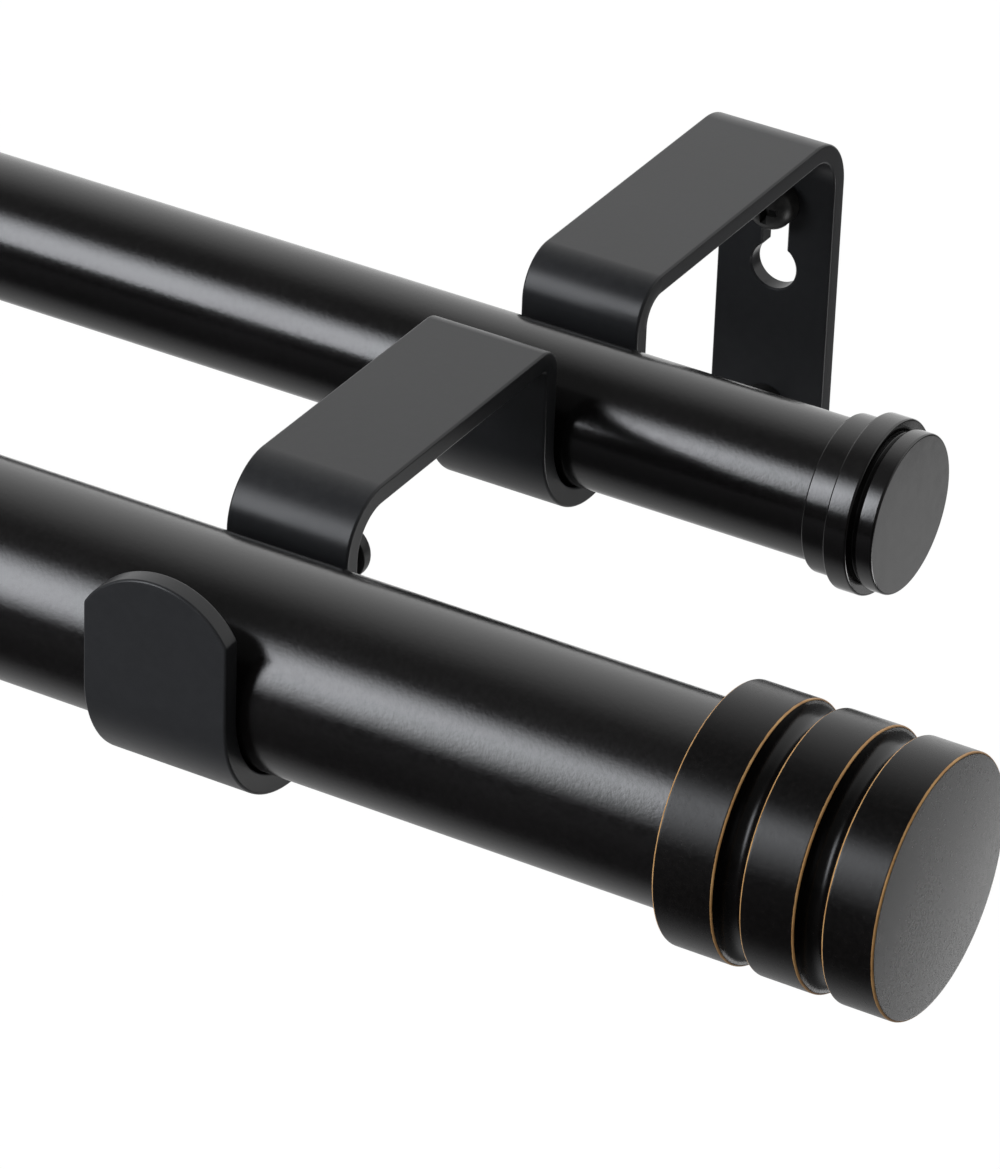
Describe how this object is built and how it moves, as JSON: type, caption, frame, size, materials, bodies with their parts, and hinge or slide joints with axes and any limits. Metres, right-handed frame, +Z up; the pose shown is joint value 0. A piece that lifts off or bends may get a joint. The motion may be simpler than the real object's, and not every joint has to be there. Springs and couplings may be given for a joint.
{
  "type": "double curtain pole",
  "caption": "Double curtain pole: a wide front pole with banded finials and a thinner back pole with stepped caps, on bent strap wall brackets; both poles telescope.",
  "frame": {"origin": "on the wall, midway between the two brackets, level with the front pole's axis", "axes": "+X along the poles to the wide tubes' end, +Y into the wall, +Z up"},
  "size_m": [0.9856, 0.1649, 0.0532],
  "materials": {
    "pole_paint": "satin",
    "finial_bronze": "semi-gloss with worn copper edges",
    "cap_paint": "satin",
    "bracket_paint": "matte",
    "screw_black": "satin",
    "plastic_black": "matte"
  },
  "bodies": {
    "wall_set": {"front_wide_tube": "pole_paint", "front_mouth_ring": "plastic_black", "front_finial_right": "finial_bronze", "front_insert_right": "plastic_black", "back_wide_tube": "pole_paint", "back_mouth_ring": "plastic_black", "back_cap_right": "cap_paint", "back_insert_right": "plastic_black", "bracket_right": "bracket_paint", "bracket_left": "bracket_paint", "wall_screw_upper_right": "screw_black", "wall_screw_lower_right": "screw_black", "wall_screw_upper_left": "screw_black", "wall_screw_lower_left": "screw_black", "lock_screw_right": "screw_black", "lock_screw_left": "screw_black"},
    "front_extension": {"front_narrow_tube": "pole_paint", "front_end_ring": "plastic_black", "front_finial_left": "finial_bronze", "front_insert_left": "plastic_black"},
    "back_extension": {"back_narrow_tube": "pole_paint", "back_end_ring": "plastic_black", "back_cap_left": "cap_paint", "back_insert_left": "plastic_black"}
  },
  "joints": [
    {"name": "front_telescope", "type": "slide", "parent": "wall_set", "child": "front_extension", "axis": [-1, 0, 0], "range_m": [-0.05, 0.225]},
    {"name": "back_telescope", "type": "slide", "parent": "wall_set", "child": "back_extension", "axis": [-1, 0, 0], "range_m": [-0.03, 0.225]}
  ]
}
